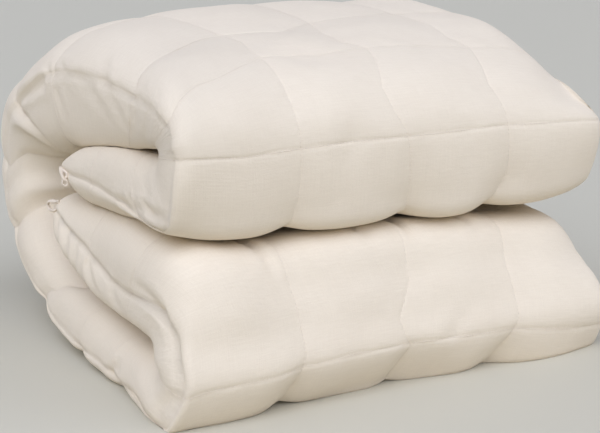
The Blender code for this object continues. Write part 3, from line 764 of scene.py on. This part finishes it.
# The thread: fine fibres, and longer stretches of it a little paler or deeper.
cotton_thread, spin, thread_skin = new_material("cotton_thread")
in_place = spin.add("ShaderNodeTexCoord", (), "Object")
fibre = spin.add("ShaderNodeTexNoise", {"Vector": in_place, "Scale": 2400.0, "Detail": 2.0})
stretch = spin.add("ShaderNodeTexNoise", {"Vector": in_place, "Scale": 90.0, "Detail": 2.0})
shade = spin.add("ShaderNodeMix", {0: 0.5, 2: fibre, 3: stretch})
spin.give(thread_skin, {
    "Base Color": spin.add("ShaderNodeMix", {
        "Factor": shade, "A": (0.74, 0.62, 0.48, 1), "B": (0.90, 0.80, 0.67, 1)}, "Result",
        data_type="RGBA"),
    "Roughness": spin.add("ShaderNodeMapRange", {"Value": fibre, "To Min": 0.62, "To Max": 0.9}),
    "Normal": spin.add("ShaderNodeBump", {"Strength": 0.4, "Distance": 0.0002, "Height": fibre}),
    "Specular IOR Level": 0.3, "Sheen Weight": 0.2})

sewing = bpy.data.node_groups.new("stitches_along_lines", "GeometryNodeTree")
sewing.interface.new_socket("Lines", in_out="INPUT", socket_type="NodeSocketGeometry")
# In metres, but for the unevenness: a share of a stitch's size, and as much of a turn in radians.
STITCH = {"Pitch": ("Float", 0.0038), "Length": ("Float", 0.0032), "Thickness": ("Float", 0.0006),
          "Lift": ("Float", 0.0001), "Unevenness": ("Float", 0.09), "Seed": ("Int", 4)}
for name, (kind, value) in STITCH.items():
    sewing.interface.new_socket(name, in_out="INPUT", socket_type="NodeSocket" + kind)
sewing.interface.new_socket("Stitches", in_out="OUTPUT", socket_type="NodeSocketGeometry")
sew = Nodes(sewing)
given = sewing.nodes.new("NodeGroupInput").outputs
curve = sew.add("GeometryNodeMeshToCurve", {"Mesh": given["Lines"]})
dots = sew.add("GeometryNodeResampleCurve", {
    "Curve": curve, "Length": given["Pitch"]}, mode="LENGTH")
off_cloth = sew.add("GeometryNodeInputNamedAttribute", {
    "Name": "outward"}, data_type="FLOAT_VECTOR")
lift = sew.add("ShaderNodeVectorMath", {
    0: off_cloth, "Scale": given["Lift"]}, operation="SCALE")
lifted = sew.add("GeometryNodeSetPosition", {"Geometry": dots, "Offset": lift})
ball = sew.add("GeometryNodeMeshUVSphere", {"Segments": 4, "Rings": 3, "Radius": 0.5})
stitch_size = sew.add("ShaderNodeCombineXYZ", {
    0: given["Thickness"], 1: given["Thickness"], 2: given["Length"]})
drawn_out = sew.add("GeometryNodeTransform", {"Geometry": ball, "Scale": stitch_size})
one_stitch = sew.add("GeometryNodeSetShadeSmooth", {"Geometry": drawn_out})
tangent = sew.add("GeometryNodeInputTangent")
along = sew.add("FunctionNodeAlignRotationToVector", {"Vector": tangent}, axis="Z")
standing = sew.add("FunctionNodeAlignRotationToVector", {
    "Rotation": along, "Vector": off_cloth}, axis="X", pivot_axis="Z")
chance = sew.add("FunctionNodeRandomValue", {
    "Min": (-1, -1, -1), "Max": (1, 1, 1), "Seed": given["Seed"]}, data_type="FLOAT_VECTOR")
uneven = sew.add("ShaderNodeVectorMath", {
    0: chance, "Scale": given["Unevenness"]}, operation="SCALE")
tilt = sew.add("FunctionNodeEulerToRotation", {"Euler": uneven})
turned = sew.add("FunctionNodeRotateRotation", {
    "Rotation": standing, "Rotate By": tilt}, rotation_space="LOCAL")
each_size = sew.add("ShaderNodeVectorMath", {0: uneven, 1: (1, 1, 1)}, operation="ADD")
set_out = sew.add("GeometryNodeInstanceOnPoints", {
    "Points": lifted, "Instance": one_stitch, "Rotation": turned, "Scale": each_size})
own_mesh = sew.add("GeometryNodeRealizeInstances", {"Geometry": set_out})
painted = sew.add("GeometryNodeSetMaterial", {"Geometry": own_mesh, "Material": cotton_thread})
sew.give(sewing.nodes.new("NodeGroupOutput"), {"Stitches": painted})

modifier = stitches.modifiers.new("sewing", "NODES")
modifier.node_group = sewing
for socket in sewing.interface.items_tree:
    if socket.name in STITCH:
        modifier[socket.identifier] = STITCH[socket.name][1]
made = bpy.data.meshes.new_from_object(stitches.evaluated_get(bpy.context.evaluated_depsgraph_get()))
stitches.modifiers.clear()
made.materials.pop(index=0)          # the empty slot of the ball that each stitch is made of
stitches.data = made
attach(stitches, "root")

# ---------------------------------------------------------------- the cover loops
# The real ones are short loops of soft woven tape, sewn into the left corners of the two free edges to
# hold a cover.  Both have curled up: one lies in an 8 against the end it hangs from, one is bunched.

# Each place of a tape's middle is in mm from the corner that it hangs from: aside to the viewer's right,
# up, and near towards the viewer, who looks from the front and the left.
ASIDE_UP_NEAR = np.array([(0.854, -0.521, 0), (0, 0, 1), (-0.521, -0.854, 0)])
NEAR = ASIDE_UP_NEAR[2]
LOOPS = {
    "cover_loop_upper": (0, [
        # aside, up, near
        (0.5, 0.0, 2.0), (2.8, -3.2, 11.0), (5.0, -6.0, 18.0), (7.0, -8.4, 21.4), (9.8, -10.8, 20.8),
        (10.2, -13.8, 20.4), (7.8, -15.8, 20.0), (5.0, -14.0, 19.6), (5.2, -10.8, 19.0),
        (7.4, -8.2, 18.6), (10.2, -6.0, 18.2), (9.8, -3.0, 16.0), (6.0, -1.8, 10.0), (2.4, -0.6, 4.5)]),
    "cover_loop_lower": (rows - 1, [
        (0.0, 0.4, 0.5), (4.0, 3.8, 4.5), (4.2, 8.0, 6.0), (1.2, 7.2, 4.6), (-2.4, 7.8, 3.6),
        (-6.4, 6.6, 1.6), (-8.4, 3.0, -0.4), (-6.8, -0.8, 0.8), (-3.4, -3.0, 3.2), (-0.6, -3.0, 4.6),
        (1.6, -1.0, 3.0)]),
}
TAPE_WIDE, TAPE_THICK, TAPE_ROUND = 0.0048, 0.0026, 0.012
SQUARED_WIDE, SQUARED_THICK, THINNER_AT_SIDES = 0.7, 0.8, 0.28
ROUND, PER_PLACE = 14, 9
# How far a tape leans over (in radians) and by what share it swells, in waves once round the loop.
LEAN = [
    # much  waves  start
    (0.45,   2,    0.6),
    (0.25,   5,    0.0),
]
SWELL = [
    # much  waves  start
    (0.10,   7,    1.0),
    (0.06,  12,    0.0),
]


def waves(once_round, rows_of_waves):
    """The sum of a few waves at places once round the loop, in radians."""
    return sum(much * np.sin(count * once_round + start) for much, count, start in rows_of_waves)[:, None]


def squared(values, power):
    """Sines or cosines of a round section, drawn out towards a square one."""
    return np.sign(values) * np.abs(values) ** power


tape_cloth = woven_cloth("woven_tape", pale=(0.87, 0.77, 0.62), deep=(0.73, 0.62, 0.48), thread=0.0006,
                         puckers=0.6)
section_turn = np.arange(ROUND) / ROUND * 2 * np.pi
section_wide = TAPE_WIDE / 2 * squared(np.cos(section_turn), SQUARED_WIDE)
section_thick = (TAPE_THICK / 2 * squared(np.sin(section_turn), SQUARED_THICK)
                 * (1 - THINNER_AT_SIDES * np.cos(section_turn) ** 2))
for name, (corner_row, path) in LOOPS.items():
    marks = places[corner_row, 0] + np.array(path) @ ASIDE_UP_NEAR / 1000
    closed = np.concatenate([marks[-1:], marks, marks[:3]])
    tape_middle = through(closed, 1 + np.arange(len(marks) * PER_PLACE) / PER_PLACE)
    tape_way = np.roll(tape_middle, -1, 0) - np.roll(tape_middle, 1, 0)
    tape_way /= np.linalg.norm(tape_way, axis=1, keepdims=True)
    wide_way = NEAR - tape_way * (tape_way @ NEAR)[:, None]
    wide_way /= np.linalg.norm(wide_way, axis=1, keepdims=True)
    thick_way = np.cross(tape_way, wide_way)
    once_round = np.arange(len(tape_middle)) / len(tape_middle) * 2 * np.pi
    lean = waves(once_round, LEAN)
    leaning_wide = wide_way * np.cos(lean) + thick_way * np.sin(lean)
    leaning_thick = thick_way * np.cos(lean) - wide_way * np.sin(lean)
    swollen = section_thick * (1 + waves(once_round, SWELL))
    tape_points = (tape_middle[:, None] + leaning_wide[:, None] * section_wide[None, :, None]
                   + leaning_thick[:, None] * swollen[..., None])
    tape_index = np.arange(len(tape_middle) * ROUND).reshape(-1, ROUND)
    next_index = np.roll(tape_index, -1, 0)
    tape_faces = [tape_index, np.roll(tape_index, -1, 1), np.roll(next_index, -1, 1), next_index]
    tape_faces = np.stack(tape_faces, -1)
    tape_mesh = bpy.data.meshes.new(name + "_tape")
    tape_mesh.from_pydata(tape_points.reshape(-1, 3).tolist(), [], tape_faces.reshape(-1, 4).tolist())
    tape_mesh.polygons.foreach_set("use_smooth", [True] * len(tape_mesh.polygons))

    # the tape's weave map: metres round its section, and metres along it to where it closes
    girth = np.arange(ROUND + 1) / ROUND * TAPE_ROUND
    steps = np.linalg.norm(np.roll(tape_middle, -1, 0) - tape_middle, axis=1)
    map_grid = np.stack(np.meshgrid(girth, np.concatenate([[0], np.cumsum(steps)])), -1)
    tape_map = np.stack([map_grid[:-1, :-1], map_grid[:-1, 1:], map_grid[1:, 1:], map_grid[1:, :-1]], 2)
    tape_mesh.uv_layers.new(name="weave").data.foreach_set("uv", tape_map.ravel())
    tape_mesh.materials.append(tape_cloth)
    tape = put_in(name + "_tape", tape_mesh)
    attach(tape, "root")
    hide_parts(name)

# ---------------------------------------------------------------- floor, light and camera
FAR = 40
floor_mesh = bpy.data.meshes.new("floor")
floor_mesh.from_pydata([(-FAR, -FAR, 0), (FAR, -FAR, 0), (FAR, FAR, 0), (-FAR, FAR, 0)], [], [(0, 1, 2, 3)])
floor = put_in("floor", floor_mesh)
floor_paint, floor_nodes, floor_skin = new_material("pale_floor")
floor_nodes.give(floor_skin, {"Base Color": (0.60, 0.565, 0.45, 1), "Roughness": 0.9})
floor_mesh.materials.append(floor_paint)

world = bpy.data.worlds.new("studio")
world.use_nodes = True
Nodes(world.node_tree).give(world.node_tree.nodes["Background"], {
    "Color": (1.05, 0.98, 0.86, 1), "Strength": 0.06})
bpy.context.scene.world = world

# Broad soft lights, as large silks well away from the blanket give: how far round from the front each
# stands (degrees, to the right), how high, how wide it looks and how strong it is.
DAYLIGHT = (0.925, 0.99, 1.215)
for name, round_to, rise, width, strength in (
        ("silk_left", -60, 45, 50, 1.04),
        ("silk_front", -28, 38, 60, 1.50),
        ("silk_right", 35, 45, 50, 0.96),
        ("silk_back", -140, 50, 60, 0.62)):
    lamp_data = bpy.data.lights.new(name, "SUN")
    lamp_data.energy = strength
    lamp_data.angle = math.radians(width)
    lamp_data.color = DAYLIGHT
    lamp = put_in(name, lamp_data)
    a, e = math.radians(round_to), math.radians(rise)
    source = Vector((math.sin(a) * math.cos(e), -math.cos(a) * math.cos(e), math.sin(e)))
    lamp.rotation_mode = "QUATERNION"
    lamp.rotation_quaternion = (-source).to_track_quat("-Z", "Y")

bpy.context.scene.view_settings.view_transform = "Standard"
bpy.context.scene.view_settings.look = "None"

lens = bpy.data.cameras.new("camera")
lens.lens, lens.sensor_width = 72, 36
camera = put_in("camera", lens)
heading, tip = 0.54764, 0.20892           # radians round to the right, and down
eye = Vector((-0.6951, -1.1830, 0.4208))
ahead = Vector((math.sin(heading) * math.cos(tip), math.cos(heading) * math.cos(tip), -math.sin(tip)))
right = Vector((math.cos(heading), -math.sin(heading), 0))
up = right.cross(ahead)
camera.matrix_world = Matrix(((right.x, up.x, -ahead.x, eye.x), (right.y, up.y, -ahead.y, eye.y),
                              (right.z, up.z, -ahead.z, eye.z), (0, 0, 0, 1)))
bpy.context.scene.camera = camera
